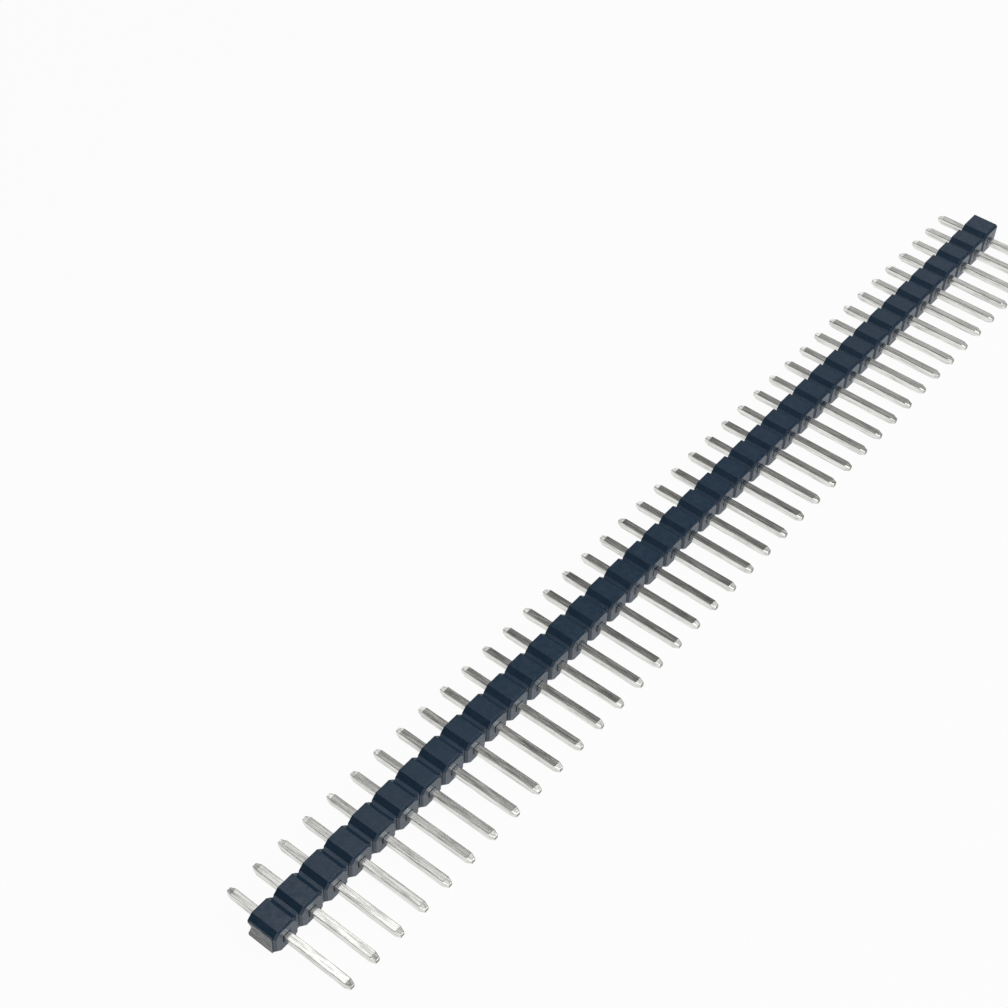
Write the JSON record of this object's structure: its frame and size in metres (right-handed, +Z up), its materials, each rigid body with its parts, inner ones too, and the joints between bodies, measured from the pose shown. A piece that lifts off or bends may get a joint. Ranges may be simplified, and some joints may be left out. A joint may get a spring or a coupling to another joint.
{
  "type": "pin header strip",
  "caption": "Single-row break-off pin header strip: square plated posts through a dark moulded insulator, long mating ends and short board ends, lying on its side.",
  "frame": {"origin": "on the resting surface, under the middle of the strip's outer box", "axes": "+X along the row from post 1, +Y towards the short board ends, +Z up; the posts lean 9.22 degrees from +Y, long ends down"},
  "size_m": [0.1016, 0.0114, 0.0028],
  "materials": {
    "insulator_plastic": "satin",
    "tin_plate": "satin"
  },
  "bodies": {
    "root": {"insulator": "insulator_plastic", "pin_01": "tin_plate", "pin_02": "tin_plate", "pin_03": "tin_plate", "pin_04": "tin_plate", "pin_05": "tin_plate", "pin_06": "tin_plate", "pin_07": "tin_plate", "pin_08": "tin_plate", "pin_09": "tin_plate", "pin_10": "tin_plate", "pin_11": "tin_plate", "pin_12": "tin_plate", "pin_13": "tin_plate", "pin_14": "tin_plate", "pin_15": "tin_plate", "pin_16": "tin_plate", "pin_17": "tin_plate", "pin_18": "tin_plate", "pin_19": "tin_plate", "pin_20": "tin_plate", "pin_21": "tin_plate", "pin_22": "tin_plate", "pin_23": "tin_plate", "pin_24": "tin_plate", "pin_25": "tin_plate", "pin_26": "tin_plate", "pin_27": "tin_plate", "pin_28": "tin_plate", "pin_29": "tin_plate", "pin_30": "tin_plate", "pin_31": "tin_plate", "pin_32": "tin_plate", "pin_33": "tin_plate", "pin_34": "tin_plate", "pin_35": "tin_plate", "pin_36": "tin_plate", "pin_37": "tin_plate", "pin_38": "tin_plate", "pin_39": "tin_plate", "pin_40": "tin_plate"}
  },
  "joints": []
}
